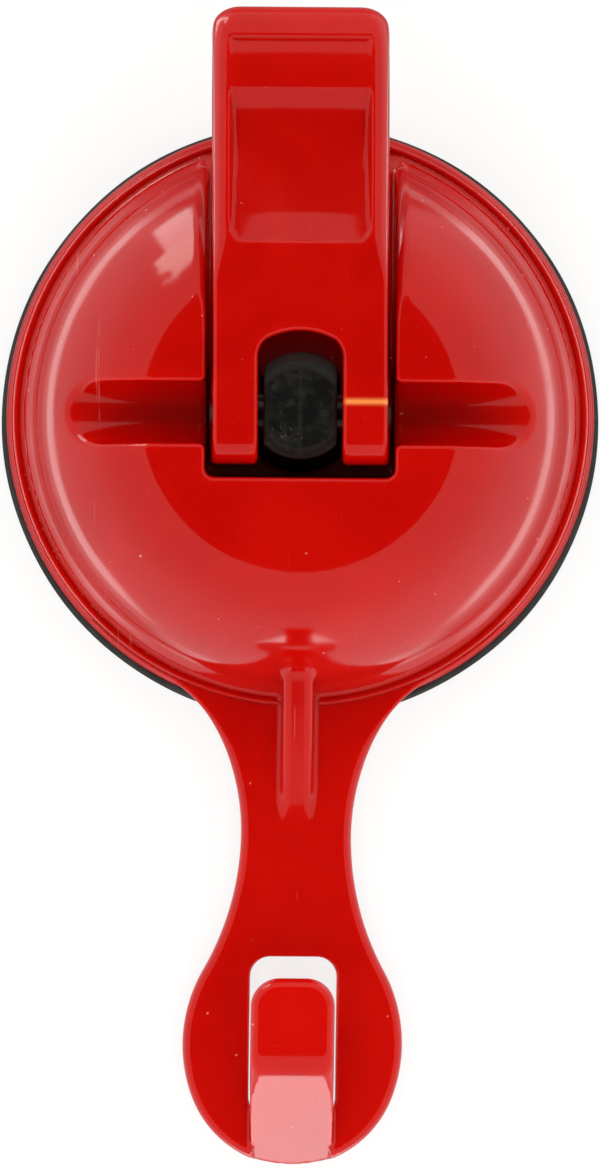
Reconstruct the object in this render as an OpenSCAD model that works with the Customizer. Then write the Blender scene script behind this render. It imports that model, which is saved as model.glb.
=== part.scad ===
// Lever-operated vacuum suction cup with a hook arm.
// Origin: centre of the pad's sealing face. +Z: away from the glass. +Y: towards the lever's tip.
// Drawn locked: the lever lies closed and the stem holds the middle of the pad up.

/* [Suction pad] */
// Outer diameter of the soft pad
pad_d = 60; // [57:0.5:76]
// Thickness of the pad at its rim
pad_rim_t = 1.8; // [1.4:0.1:2.6]
// Thickness of the pad's middle, around the stem's flange
pad_web_t = 2.5; // [2.2:0.1:3.6]
// Width of the flat sealing ring
seal_w = 6.8; // [4:0.2:9]
// How far the pad stands out past the hood's rim
pad_show = 0.93; // [0.4:0.01:1.6]
// How far the lever lifts the stem
stroke = 2.2; // [1.6:0.1:3]
// Gap left under the pad's middle when it is let down
let_down_gap = 0.3; // [0.1:0.1:1]

/* [Hood] */
// Diameter of the flat on top
plateau_d = 30; // [27:0.5:32]
// Height of the flat above the pin
plateau_over_pin = 3.4; // [3:0.1:4.5]
// Slope of the dome just below the flat, in degrees
shoulder_slope = 27; // [18:1:34]
// Wall thickness of the dome
hood_wall = 2; // [1.4:0.1:2.6]
// Width of the flat step between dome and rim bead
step_w = 1.5; // [1:0.1:2.5]
// Width of the rim bead
bead_w = 0.6; // [0.4:0.1:1.2]
// Depth of the small step down to the bead
bead_drop = 0.3; // [0.1:0.05:0.6]
// Thickness of the floor that the cams ride on
floor_t = 1.6; // [1.2:0.1:2.6]
// Gap on each side of the lever in its slot
slot_side_gap = 0.5; // [0.3:0.05:1]
// Gap between the turning lever and the slot's closed end
slot_end_gap = 0.3; // [0.2:0.05:1]
// Length of the slot's level floor in front of the pin
floor_len = 11; // [9.5:0.5:13]
// Gap round the pin in the two side channels that it is fitted through
channel_gap = 1; // [0.4:0.1:1.5]

/* [Arm and hook] */
// Thickness of the arm
arm_t = 2.7; // [2:0.1:4]
// Half width of the arm at its neck
neck_half = 5.5; // [4.5:0.1:7]
// Distance from the rim to the neck
neck_out = 12.4; // [10:0.1:18]
// Radius of the neck's side towards the hood
neck_r = 22; // [18:0.5:26]
// Radius of the fillet between neck and rim
root_r = 12; // [8:0.5:14]
// Half width of the arm's round end
head_half = 10.95; // [9.5:0.1:13]
// Radius of the round end's cheeks
cheek_r = 15; // [13.5:0.5:18]
// Distance from the neck to the widest place of the end
head_out = 20.9; // [17:0.1:26]
// Distance from the cheeks' widest place to the arm's end
end_len = 12.2; // [11:0.1:12.8]
// Width of the hook's finger
hook_w = 8.2; // [6:0.1:10]
// Thickness of the hook's finger
hook_t = 2.9; // [2:0.1:4]
// Free height between arm and finger
hook_gap = 8.1; // [6:0.1:12]
// Length of the finger, from the arm's end to its tip
hook_len = 19.6; // [16:0.2:20.4]
// Clearance all round between the finger and the slot under it
hook_clear = 0.25; // [0.15:0.05:0.6]
// Width of the rib on the arm
rib_w = 3.1; // [2:0.1:5]
// Height of the rib above the arm where it meets the dome
rib_h = 5; // [3:0.5:8]
// How far the rib runs past the rim
rib_out = 11.4; // [6:0.1:13]

/* [Lever] */
// Width of the lever
lever_w = 17.4; // [16.4:0.1:17.6]
// Distance from the pin to the lever's tip
lever_len = 39.7; // [38.4:0.1:46]
// Height of the lever's flat top above the pin
lever_over_pin = 4; // [3.7:0.1:4.4]
// Reach of the cam when the lever stands open
cam_open = 5.3; // [5:0.05:5.5]
// Roundness of the lever's shoulder at the cam end
shoulder_r = 2.4; // [2:0.1:3]
// Gap between cam and floor
cam_gap = 0.12; // [0.05:0.01:0.3]
// Gap on each side of the stem in the fork
fork_side_gap = 0.55; // [0.3:0.05:1]
// Gap between the stem and the fork's arched end
fork_end_gap = 2.75; // [2:0.05:4]
// Thickness of the lever's plate
plate_t = 2.2; // [1.6:0.1:3]
// Width of the border on each side of the thumb scoop
border_w = 1.3; // [1:0.1:2.4]
// Distance from the pin to the scoop's start
scoop_start = 16.6; // [15:0.2:18]
// Length of the scoop
scoop_len = 15.9; // [13:0.1:17]
// Depth of the scoop
scoop_depth = 2; // [1:0.1:3]
// Length of the rounded nose at the lever's tip
nose_len = 5.6; // [3:0.1:7]
// Lever's opening angle, in degrees
open_angle = 95; // [85:1:95]

/* [Pin, stem and spring] */
// Diameter of the pivot pin
pin_d = 4; // [3:0.1:4.4]
// Radial clearance of the lever on the pin
pin_run = 0.06; // [0.02:0.01:0.1]
// Diameter of the stem
stem_d = 10.3; // [9.5:0.1:10.6]
// Width across the stem's two flats
stem_flats = 7.1; // [6.4:0.1:7.3]
// Height of the stem's head above the pin
head_over_pin = 3.5; // [3.2:0.1:3.8]
// Diameter of the stem's flange inside the pad
flange_d = 16; // [14:0.5:20]
// Thickness of the stem's flange
flange_t = 1; // [0.8:0.1:1.4]
// Thickness of the spring's seat washer
washer_t = 0.5; // [0.4:0.1:1]
// Wire diameter of the return spring
wire_d = 0.8; // [0.5:0.05:0.9]
// Height of the spring when it is pressed together
spring_h = 1.5; // [1.2:0.1:2.5]
// Turns of the return spring
spring_turns = 2.25; // [1.5:0.25:2.25]

/* [Hidden] */
$fn = 96;
eps = 0.01;
far = 100;            // longer than any cut needs to be
arc_steps = 12;       // segments of an outline's arc
fit = 0.05;           // moulded-in pieces
bore_fit = 0.02;      // pin in the stem
slide_fit = 0.3;      // stem in the hood's floor
pin_show = 0.15;      // pin end proud of the lever's side
chamfer = 1;          // stem head's edge
sink = 0.5;           // how far joined pieces reach into each other
rim_bevel = 0.4;      // hood rim's upper edge
wall_share = 0.8;     // inner walls' thickness over the dome's

// Heights, from the sealing face upwards
chamber_h = stroke + let_down_gap;
web_top = chamber_h + pad_web_t;
washer_top = web_top + washer_t;
floor_bottom = washer_top + spring_h;
floor_top = floor_bottom + floor_t;
cam_shut = cam_open + stroke;
pin_z = floor_top + cam_gap + cam_shut;
lever_top = pin_z + lever_over_pin;
plateau_z = pin_z + plateau_over_pin;
arm_top = pad_rim_t + arm_t;
step_z = arm_top + bead_drop;

// Hood's outline: an arc from the flat's edge to the dome's foot
hood_r = pad_d / 2 - pad_show;
slot_w = lever_w + 2 * slot_side_gap;
shoulder_reach = norm([cam_open - shoulder_r, lever_over_pin - shoulder_r]) + shoulder_r;
slot_back = shoulder_reach + slot_end_gap;
channel_r = pin_d / 2 + channel_gap;
plateau_r = plateau_d / 2;
foot_r = hood_r - bead_w - step_w;
fall = [foot_r - plateau_r, plateau_z - step_z];
fall_slope = atan2(fall[1], fall[0]);
dome_r = norm(fall) / (2 * sin(fall_slope - shoulder_slope));
foot_slope = 2 * fall_slope - shoulder_slope;
dome_c = [plateau_r, plateau_z] - dome_r * [sin(shoulder_slope), cos(shoulder_slope)];
inner_wall = hood_wall * wall_share;
box_half = slot_w / 2 + inner_wall;
ramp_end = 0.5;       // the slot's ramp ends this far above the rim's step

// Arm's outline: centres of its arcs on the +X side, each touching the next
neck_y = hood_r + neck_out;
head_y = neck_y + head_out;
rib_end = hood_r + rib_out;
neck_c = [neck_half + neck_r, -neck_y];
root_c = meet(neck_c, neck_r - root_r, [0, 0], hood_r + root_r);
cheek_c = [head_half - cheek_r, -head_y];
drop_y = head_y - neck_y;
reach_x = neck_half - cheek_c[0];
low_r = (reach_x * reach_x + drop_y * drop_y - cheek_r * cheek_r) / (2 * (cheek_r - reach_x));
low_c = [neck_half + low_r, -neck_y];
tip_r = (cheek_r * cheek_r - end_len * end_len - cheek_c[0] * cheek_c[0])
      / (2 * (cheek_r - end_len));
tip_c = [0, -(head_y + end_len - tip_r)];
arm_end = head_y + end_len;
hook_tip = arm_end - hook_len;
finger_z = arm_top + hook_gap;

// Point at distance ra from a and rb from b, on the left of the way from a to b
function meet(a, ra, b, rb) =
    let (d = norm(b - a), u = (b - a) / d, x = (d * d + ra * ra - rb * rb) / (2 * d))
    a + x * u + sqrt(ra * ra - x * x) * [-u[1], u[0]];

function arc(c, r, from, to, n = arc_steps) =
    [for (i = [0 : n]) c + r * [cos(from + (to - from) * i / n), sin(from + (to - from) * i / n)]];

// Bearing of point b seen from point a, from -180 to 180 degrees
function bearing(a, b) = atan2(b[1] - a[1], b[0] - a[0]);

function mirrored(points) = [for (i = [len(points) - 1 : -1 : 0]) [-points[i][0], points[i][1]]];

// Extrudes an outline drawn in Y and Z along X, centred
module along_x(width) rotate([90, 0, 90]) linear_extrude(width, center = true) children();

// ---- Suction pad: soft, moulded round the stem's flange ----

flange_cover = 0.15;           // rubber over the stem's flange
flange_edge = 1.5;             // rubber past the flange's edge
lip_bevel = 0.5;               // lower edge of the lip
lip_side = 0.7;                // height of the lip's slanted upper edge
seat_gap = 0.6;                // between the pad's thick middle and the hood's wall
web_bevel = 0.5;               // edge of the pad's flat middle
seal_in = pad_d / 2 - seal_w;
web_r = flange_d / 2 + flange_edge;
cup_r = (seal_in * seal_in + chamber_h * chamber_h) / (2 * chamber_h);
flange_z = web_top - flange_cover - flange_t;
seat_in = foot_r - hood_wall - seat_gap;

function cup_z(r) = sqrt(cup_r * cup_r - r * r) - cup_r + chamber_h;

module suction_pad() color([0.09, 0.09, 0.09]) difference() {
    rotate_extrude() polygon(concat(
        [for (i = [0 : arc_steps]) let (r = seal_in * i / arc_steps) [r, cup_z(r)]],
        [[pad_d / 2 - lip_bevel, 0], [pad_d / 2, lip_bevel], [pad_d / 2, pad_rim_t - lip_side],
         [pad_d / 2 - pad_show, pad_rim_t], [seat_in, pad_rim_t],
         [web_r + 2 * web_bevel, web_top - web_bevel], [web_r, web_top], [0, web_top]]));
    translate([0, 0, flange_z - fit]) cylinder(h = flange_t + 2 * fit, d = flange_d + 2 * fit);
    translate([0, 0, flange_z]) cylinder(h = far, d = stem_d + 2 * fit);
}

// ---- Stem: rigid core that the lever pulls on ----

module stem() color([0.13, 0.13, 0.13]) difference() {
    union() {
        translate([0, 0, flange_z]) cylinder(h = flange_t, d = flange_d);
        translate([0, 0, flange_z]) cylinder(h = web_top - flange_z, d = stem_d);
        intersection() {
            rotate_extrude() polygon([
                [0, web_top - eps], [stem_d / 2, web_top - eps],
                [stem_d / 2, pin_z + head_over_pin - chamfer],
                [stem_d / 2 - chamfer, pin_z + head_over_pin], [0, pin_z + head_over_pin]]);
            translate([-stem_flats / 2, -far / 2, 0]) cube([stem_flats, far, far]);
        }
    }
    translate([0, 0, pin_z]) rotate([0, 90, 0])
        cylinder(h = far, d = pin_d + 2 * bore_fit, center = true);
}

// ---- Pivot pin ----

pin_len = lever_w + 2 * pin_show;
pin_bevel = 0.4;

module pivot_pin() color([0.72, 0.72, 0.74])
    translate([-pin_len / 2, 0, pin_z]) rotate([0, 90, 0]) rotate_extrude() polygon([
        [0, 0], [pin_d / 2 - pin_bevel, 0], [pin_d / 2, pin_bevel],
        [pin_d / 2, pin_len - pin_bevel], [pin_d / 2 - pin_bevel, pin_len], [0, pin_len]]);

// ---- Return spring and its seat washer ----

coil_gap = 0.25;               // between the spring's top turn and the stem's hole
washer_edge = 0.4;             // the washer's edge lies this far inside the pad's flat middle
washer_in = stem_d / 2 + slide_fit;
washer_out = web_r - washer_edge;
coil_in = washer_in + wire_d / 2 + coil_gap;
coil_out = washer_out - wire_d / 2;
ring_sides = 8;
rings_per_turn = 24;
ring_count = spring_turns * rings_per_turn;

module spring_washer() color([0.7, 0.7, 0.72]) translate([0, 0, web_top]) difference() {
    cylinder(h = washer_t, r = washer_out);
    translate([0, 0, -1]) cylinder(h = far, r = washer_in);
}

// Point of the wire's surface: share of the way up, and the angle round the wire
function wire_point(t, a) =
    let (turn = 360 * spring_turns * t,
         r = coil_out + (coil_in - coil_out) * t + wire_d / 2 * cos(a),
         rise = spring_h - wire_d - 2 * eps)
    [r * cos(turn), r * sin(turn), washer_top + wire_d / 2 + eps + rise * t + wire_d / 2 * sin(a)];

module return_spring() color([0.75, 0.75, 0.77]) polyhedron(
    points = [for (i = [0 : ring_count], j = [0 : ring_sides - 1])
              wire_point(i / ring_count, 360 * (j + 0.5) / ring_sides)],
    faces = concat(
        [[for (j = [0 : ring_sides - 1]) j]],
        [for (i = [0 : ring_count - 1], j = [0 : ring_sides - 1], half = [0, 1])
            let (a = i * ring_sides + j, b = i * ring_sides + (j + 1) % ring_sides)
            half == 0 ? [a, a + ring_sides, b] : [b, a + ring_sides, b + ring_sides]],
        [[for (j = [ring_sides - 1 : -1 : 0]) ring_count * ring_sides + j]]));

// ---- Lever: fork with two cams, flat top, thumb scoop and lip ----

tip_round = 2.9;               // corners of the tip, seen from above
nose_low = 0.8;                // rounding of the nose's lower edge
leg_foot = 5.5;                // where the cams' flat underside ends
leg_top = 12.5;                // where the legs' sloping front meets the plate
cam_k = stroke / open_angle;   // lift lost per degree
cam_k_rad = cam_k * 180 / PI;
fork_roof = plate_t + 0.8;     // over the pocket behind the fork
pocket_top = lever_top - fork_roof;
pocket_wall = 2;               // between the pocket and the scoop
cam_rise = 0.6;                // the cam's back stays straight up to this height over the pin
plate_low = lever_top - scoop_depth - plate_t;
nose_y = lever_len - nose_len;
nose_h = scoop_depth + plate_t - nose_low;

function scoop_z(y) = lever_top - scoop_depth * sin(180 * (y - scoop_start) / scoop_len);

// Cam: the floor, seen from the lever turned by a degrees, touches it at this point.
// Its distance from the pin falls evenly from cam_shut to cam_open.
function cam_point(a) =
    let (h = cam_shut - cam_k * a)
    [-h * sin(a) + cam_k_rad * cos(a), pin_z - h * cos(a) - cam_k_rad * sin(a)];

function steps_between(a, b, n) = [for (i = [0 : n]) a + (b - a) * i / n];

lever_side = concat(
    [for (a = steps_between(0, open_angle, 24)) cam_point(a)],
    [[-cam_open, pin_z + cam_rise]],
    arc([shoulder_r - cam_open, lever_top - shoulder_r], shoulder_r, 180, 90),
    [for (a = steps_between(0, 90, 10))
        [nose_y + nose_len * sin(a), plate_low + nose_low + nose_h * cos(a)]],
    arc([lever_len - nose_low, plate_low + nose_low], nose_low, 0, -90, 4),
    [[leg_top, plate_low], [leg_foot, pin_z - cam_shut]]);

module scoop() along_x(lever_w - 2 * border_w) polygon(concat(
    [for (y = steps_between(scoop_start, scoop_start + scoop_len, 24)) [y, scoop_z(y)]],
    [[scoop_start + scoop_len, lever_top + 1], [scoop_start, lever_top + 1]]));

fork_w = stem_flats + 2 * fork_side_gap;
fork_r = stem_d / 2 + fit;
arch_c = stem_d / 2 + fork_end_gap - fork_r;

module fork_slot() {
    translate([0, 0, pin_z - far / 2]) linear_extrude(far) intersection() {
        translate([-fork_w / 2, -far]) square([fork_w, 2 * far]);
        union() {
            translate([0, arch_c]) circle(r = fork_r);
            translate([-fork_w / 2, -far]) square([fork_w, far + arch_c]);
        }
    }
    // pocket behind the fork, open below
    translate([-fork_w / 2, 0, -far]) cube([fork_w, scoop_start - pocket_wall, far + pocket_top]);
}

module lever() color([0.78, 0.02, 0.01]) difference() {
    intersection() {
        along_x(lever_w) polygon(lever_side);
        linear_extrude(far) polygon(concat(
            [[-lever_w / 2, -far], [lever_w / 2, -far]],
            arc([lever_w / 2 - tip_round, lever_len - tip_round], tip_round, 0, 90, 8),
            arc([tip_round - lever_w / 2, lever_len - tip_round], tip_round, 90, 180, 8)));
    }
    scoop();
    fork_slot();
    translate([0, 0, pin_z]) rotate([0, 90, 0])
        cylinder(h = far, d = pin_d + 2 * pin_run, center = true);
}

// ---- Hood: dome, rim, arm, rib and hook are one moulding ----

module hood_outside() rotate_extrude() polygon(concat(
    [[0, pad_rim_t], [hood_r, pad_rim_t], [hood_r, arm_top - rim_bevel], [hood_r - rim_bevel, arm_top],
     [hood_r - bead_w, arm_top], [hood_r - bead_w, step_z]],
    arc(dome_c, dome_r, 90 - foot_slope, 90 - shoulder_slope, 24),
    [[0, plateau_z]]));

module hood_inside() rotate_extrude() polygon(concat(
    [[0, 0], [dome_c[0] + (dome_r - hood_wall) * sin(foot_slope), 0]],
    arc(dome_c, dome_r - hood_wall, 90 - foot_slope, 90 - shoulder_slope, 24),
    [[0, plateau_z - hood_wall]]));

// The slot's side view: level floor for the cams, then a ramp down to the dome's foot
module slot_side(low) along_x(far) polygon([
    [-far, floor_top - low], [floor_len, floor_top - low], [foot_r, step_z + ramp_end - low],
    [far, step_z + ramp_end - low], [far, far], [-far, far]]);

// U-shaped channel along X, open upwards, with the pin's line as its centre
module channel(r) {
    translate([0, 0, pin_z]) rotate([0, 90, 0]) cylinder(h = far, r = r, center = true);
    translate([-far / 2, -r, pin_z]) cube([far, 2 * r, far]);
}

module stem_hole() intersection() {
    cylinder(h = far, d = stem_d + 2 * slide_fit);
    translate([-stem_flats / 2 - slide_fit, -far / 2, 0]) cube([stem_flats + 2 * slide_fit, far, far]);
}

arm_side = concat(
    arc(root_c, root_r, bearing(root_c, [0, 0]), bearing(neck_c, root_c)),
    arc(neck_c, neck_r, bearing(neck_c, root_c), 180),
    arc(low_c, low_r, 180, bearing(low_c, cheek_c) + 360),
    arc(cheek_c, cheek_r, bearing(cheek_c, low_c), bearing(cheek_c, tip_c)),
    arc(tip_c, tip_r, bearing(cheek_c, tip_c), -90));

module arm() translate([0, 0, pad_rim_t]) linear_extrude(arm_t)
    polygon(concat([[foot_r / 2, -foot_r / 2]], arm_side,
                   mirrored(arm_side), [[-foot_r / 2, -foot_r / 2]]));

slot_half = hook_w / 2 + hook_clear;
slot_top = hook_tip - 1.1;     // the slot starts a little before the finger's tip
slot_low = arm_end - 5;        // and ends under the hook's slanted wall
slot_corner = 2;

module arm_slot() linear_extrude(arm_top + 1)
    hull() for (x = [-1, 1], y = [slot_top + slot_corner, slot_low - slot_corner])
        translate([x * (slot_half - slot_corner), -y]) circle(r = slot_corner, $fn = 32);

rib_y = foot_r - 2 * sink;      // the rib's top ends here, inside the dome

module rib() along_x(rib_w) polygon([
    [-rib_end, arm_top - sink], [-rib_end, arm_top], [-rib_y, arm_top + rib_h],
    [-rib_y + 2, arm_top + rib_h], [-rib_y + 2, arm_top - sink]]);

// Hook seen from the side: outer and inner slanted walls, joined to the finger by bends
bend_out = 3.7;
bend_in = 1.6;
lean = 53;
finger_top = finger_z + hook_t;
foot_z = pad_rim_t + 0.5;      // where the hook's outer face meets the arm's end
foot_y = arm_end - 0.2;         // just inside the arm's edge
finger_round = 1.2;            // tip of the finger, seen from the side
finger_corner = 2.6;           // and from above
bend_y = foot_y - (finger_top - foot_z - bend_out * (1 - cos(lean))) / tan(lean)
       - bend_out * sin(lean);
inner_foot_y = foot_y - hook_t / sin(lean);
inner_y = inner_foot_y - (finger_z - foot_z - bend_in * (1 - cos(lean))) / tan(lean)
        - bend_in * sin(lean);

module hook() intersection() {
    along_x(hook_w) polygon(concat(
        [[-foot_y, foot_z]],
        arc([-bend_y, finger_top - bend_out], bend_out, 90 + lean, 90, 8),
        arc([-hook_tip - finger_round, finger_top - finger_round], finger_round, 90, 0, 4),
        arc([-hook_tip - finger_round, finger_z + finger_round], finger_round, 0, -90, 4),
        arc([-inner_y, finger_z - bend_in], bend_in, 90, 90 + lean, 6),
        [[-inner_foot_y, foot_z]]));
    linear_extrude(far) hull() {
        for (x = [-1, 1]) translate([x * (hook_w / 2 - finger_corner), -hook_tip - finger_corner])
            circle(r = finger_corner, $fn = 32);
        translate([-hook_w / 2, -arm_end]) square([hook_w, 1]);
    }
}

seat_edge = 1;                 // the spring's ceiling reaches this far past the pad's flat middle

module hood() color([0.78, 0.02, 0.01]) union() {
    difference() {
        union() {
            hood_outside();
            difference() {
                arm();
                cylinder(h = far, r = foot_r - sink);
            }
            rib();
        }
        // hollow, but for the spring's ceiling and the walls of the slot and of the channels
        difference() {
            hood_inside();
            intersection() {
                translate([-box_half, -slot_back - inner_wall, 0]) cube([2 * box_half, far, far]);
                slot_side(floor_t);
            }
            translate([0, 0, floor_bottom]) cylinder(h = floor_t, r = web_r + seat_edge);
            channel(channel_r + inner_wall);
        }
        intersection() {
            translate([-slot_w / 2, -slot_back, 0]) cube([slot_w, far, far]);
            slot_side(0);
        }
        channel(channel_r);
        stem_hole();
        arm_slot();
    }
    hook();
}

hood();
lever();
pivot_pin();
stem();
suction_pad();
spring_washer();
return_spring();
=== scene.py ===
import math
import bpy
import numpy as np
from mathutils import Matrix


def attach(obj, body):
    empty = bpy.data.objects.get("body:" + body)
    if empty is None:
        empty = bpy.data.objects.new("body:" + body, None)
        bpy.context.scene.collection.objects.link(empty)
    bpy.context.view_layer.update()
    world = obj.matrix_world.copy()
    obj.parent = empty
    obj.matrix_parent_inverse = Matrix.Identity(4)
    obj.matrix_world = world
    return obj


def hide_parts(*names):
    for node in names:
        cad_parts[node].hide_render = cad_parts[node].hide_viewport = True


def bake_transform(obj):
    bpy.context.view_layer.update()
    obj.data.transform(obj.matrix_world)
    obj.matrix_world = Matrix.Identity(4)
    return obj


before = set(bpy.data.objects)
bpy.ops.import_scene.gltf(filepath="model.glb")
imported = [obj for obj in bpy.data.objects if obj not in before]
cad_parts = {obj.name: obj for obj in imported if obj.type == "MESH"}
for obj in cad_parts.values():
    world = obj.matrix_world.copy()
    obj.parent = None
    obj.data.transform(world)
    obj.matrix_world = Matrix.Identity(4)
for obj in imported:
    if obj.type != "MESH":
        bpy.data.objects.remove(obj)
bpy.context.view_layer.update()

# ---------------------------------------------------------------- table, light and camera
# A plain white table, soft light panels all round with a dark gap between them overhead, and two small
# soft lamps. The camera looks straight down on the flat top from half a metre.

scene = bpy.context.scene
scene.view_settings.view_transform = "Standard"


def link(tree, *pairs):
    """Joins sockets: each pair is an output and the input that it feeds."""
    for out, into in pairs:
        tree.links.new(out, into)


def node(tree, kind, **values):
    """A new node of that kind. Each value sets the node's own setting of that name where there is one, and
    otherwise the input of that name, with a space for each _."""
    made = tree.nodes.new(kind)
    for name, value in values.items():
        if hasattr(made, name):
            setattr(made, name, value)
        else:
            made.inputs[name.replace("_", " ")].default_value = value
    return made


def sums(tree, kind, a, b=None, c=None):
    """The result of one sum, such as ADD, MAXIMUM or MULTIPLY_ADD (a times b, plus c). Each of a, b and c is
    a number or a socket."""
    made = tree.nodes.new("ShaderNodeMath")
    made.operation = kind
    for k, value in enumerate(v for v in (a, b, c) if v is not None):
        if isinstance(value, (int, float)):
            made.inputs[k].default_value = value
        else:
            tree.links.new(value, made.inputs[k])
    return made.outputs[0]


def fade(tree, value, low, high, start=0.0, end=1.0):
    """Goes from start to end as the socket value goes from low to high, by 3t^2 - 2t^3, and stays there."""
    made = node(tree, "ShaderNodeMapRange", interpolation_type="SMOOTHSTEP")
    for k, number in enumerate((low, high, start, end)):
        made.inputs[k + 1].default_value = number
    tree.links.new(value, made.inputs[0])
    return made.outputs[0]


def blend_colour(tree, share, a, b):
    """Colour a where share is 0 and colour b where it is 1. Each colour is three numbers or a socket."""
    made = node(tree, "ShaderNodeMix", data_type="RGBA")
    tree.links.new(share, made.inputs[0])
    for k, value in ((6, a), (7, b)):
        if isinstance(value, tuple):
            made.inputs[k].default_value = (*value, 1)
        else:
            tree.links.new(value, made.inputs[k])
    return made.outputs[2]


# Table: diffuse with part of its own glow, so that it shows white and keeps a soft shadow.
half, below = 3.0, -0.00002  # half the table's width, and its top, just under the pad
table_corners = [(-half, -half, below), (half, -half, below), (half, half, below), (-half, half, below)]
table_mesh = bpy.data.meshes.new("table")
table_mesh.from_pydata(table_corners, [], [(0, 1, 2, 3)])
table = bpy.data.objects.new("table", table_mesh)
scene.collection.objects.link(table)
paper = bpy.data.materials.new("white_table")
paper.use_nodes = True
tree = paper.node_tree
tree.nodes.clear()
place = node(tree, "ShaderNodeTexCoord").outputs["Object"]
middle = node(tree, "ShaderNodeVectorMath", operation="LENGTH")
link(tree, (place, middle.inputs[0]))
near = middle.outputs["Value"]
axes = node(tree, "ShaderNodeSeparateXYZ")
link(tree, (place, axes.inputs[0]))
table_x, table_y = axes.outputs["X"], axes.outputs["Y"]
to_side = sums(tree, "ABSOLUTE", table_x)

# What glossy rays see of the table. A bright ring round the pad and a dim disc inside it, both changed on
# the arm's side, give the dome's foot its lines. A bright strip runs on from the arm's end, a bright wedge
# opens towards the window, and all is dim from under the lever's tip outwards.
arm_side = (-0.034, -0.027)  # Y where the ring ends and the disc turns bright
window_cos, window_sin = 0.839, 0.545  # of the window's bearing, 33 degrees from +Y towards -X
ring = sums(tree, "MULTIPLY", fade(tree, near, 0.0380, 0.0392), fade(tree, near, 0.0435, 0.0455, 1.0, 0.0))
ring = sums(tree, "MULTIPLY", ring, fade(tree, table_y, *arm_side))
disc = fade(tree, near, 0.0350, 0.0365, 1.0, 0.0)
disc = sums(tree, "MULTIPLY", disc, fade(tree, table_y, *arm_side, -0.8, 0.45))
strip = fade(tree, table_y, -0.082, -0.078, 3.1, 0.0)
strip = sums(tree, "MULTIPLY", strip, fade(tree, table_y, -0.7, -0.16))
strip = sums(tree, "MULTIPLY", strip, fade(tree, to_side, 0.011, 0.017, 1.0, 0.0))
wedge_side = sums(tree, "MULTIPLY_ADD", table_x, window_cos, sums(tree, "MULTIPLY", table_y, window_sin))
wedge_far = sums(tree, "MULTIPLY_ADD", table_x, -window_sin, sums(tree, "MULTIPLY", table_y, window_cos))
wedge_half = sums(tree, "MULTIPLY", wedge_far, 0.11)
wedge = sums(tree, "SUBTRACT", wedge_half, sums(tree, "ABSOLUTE", wedge_side))
wedge = fade(tree, wedge, 0.0, 0.002, 0.0, 3.2)
wedge = sums(tree, "MULTIPLY", wedge, fade(tree, wedge_far, 0.055, 0.06))
dim_end = fade(tree, to_side, 0.022, 0.03, 1.0, 0.0)
dim_end = sums(tree, "MULTIPLY", dim_end, fade(tree, table_y, 0.026, 0.032))
shine_level = sums(tree, "ADD", sums(tree, "MULTIPLY_ADD", ring, 1.9, 0.85), strip)
shine_level = sums(tree, "ADD", sums(tree, "SUBTRACT", shine_level, disc), wedge)
shine_level = sums(tree, "MULTIPLY", shine_level, sums(tree, "MULTIPLY_ADD", dim_end, -0.7, 1.0))
rays = node(tree, "ShaderNodeLightPath")
white = node(tree, "ShaderNodeBsdfDiffuse", Color=(0.86, 0.86, 0.86, 1))
glow = node(tree, "ShaderNodeEmission", Color=(1, 1, 1, 1), Strength=1.08)
seen = node(tree, "ShaderNodeMixShader", Fac=0.72)
mirrored = node(tree, "ShaderNodeEmission", Color=(1, 1, 1, 1))
pick_camera = node(tree, "ShaderNodeMixShader")
pick_gloss = node(tree, "ShaderNodeMixShader")
out = node(tree, "ShaderNodeOutputMaterial")
link(
    tree,
    (white.outputs[0], seen.inputs[1]), (glow.outputs[0], seen.inputs[2]),
    (shine_level, mirrored.inputs["Strength"]),
    (rays.outputs["Is Camera Ray"], pick_camera.inputs[0]),
    (white.outputs[0], pick_camera.inputs[1]), (seen.outputs[0], pick_camera.inputs[2]),
    (rays.outputs["Is Glossy Ray"], pick_gloss.inputs[0]),
    (pick_camera.outputs[0], pick_gloss.inputs[1]), (mirrored.outputs[0], pick_gloss.inputs[2]),
    (pick_gloss.outputs[0], out.inputs[0]),
)
table_mesh.materials.append(paper)

# Room: soft panels all round, a little brighter towards the horizon, and a dark gap overhead. Diffuse rays
# see the panels 2.14 times as bright, and only glossy rays see the window, whose edges are frayed.
room = bpy.data.worlds.new("room")
scene.world = room
room.use_nodes = True
tree = room.node_tree
tree.nodes.clear()
towards = node(tree, "ShaderNodeSeparateXYZ")
link(tree, (node(tree, "ShaderNodeTexCoord").outputs["Generated"], towards.inputs[0]))
panels = fade(tree, towards.outputs["Z"], 0.0, 0.35, 0.8, 0.58)
past_tip = sums(tree, "MAXIMUM", towards.outputs["Y"], 0.0)
overhead = sums(tree, "MULTIPLY_ADD", past_tip, -0.1, towards.outputs["Z"])
gap = fade(tree, overhead, 0.75, 0.785, 1.0, 0.05)
light = node(tree, "ShaderNodeBackground", Color=(1, 0.97, 0.91, 1))
beside = node(tree, "ShaderNodeVectorMath", operation="DOT_PRODUCT")
beside.inputs[1].default_value = (window_cos, window_sin, 0.12)
ahead = node(tree, "ShaderNodeVectorMath", operation="DOT_PRODUCT")
ahead.inputs[1].default_value = (-window_sin, window_cos, 0.0)
facing = node(tree, "ShaderNodeTexCoord").outputs["Generated"]
curtain = node(tree, "ShaderNodeTexNoise", Scale=9.0, Detail=2.0)
link(
    tree,
    (facing, beside.inputs[0]), (facing, ahead.inputs[0]), (facing, curtain.inputs["Vector"]),
)
frayed = sums(tree, "MULTIPLY_ADD", curtain.outputs["Fac"], 0.22, -0.11)
from_middle = sums(tree, "ABSOLUTE", sums(tree, "ADD", beside.outputs["Value"], frayed))
window = fade(tree, from_middle, 0.155, 0.185, 4.0, 0.0)
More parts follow.
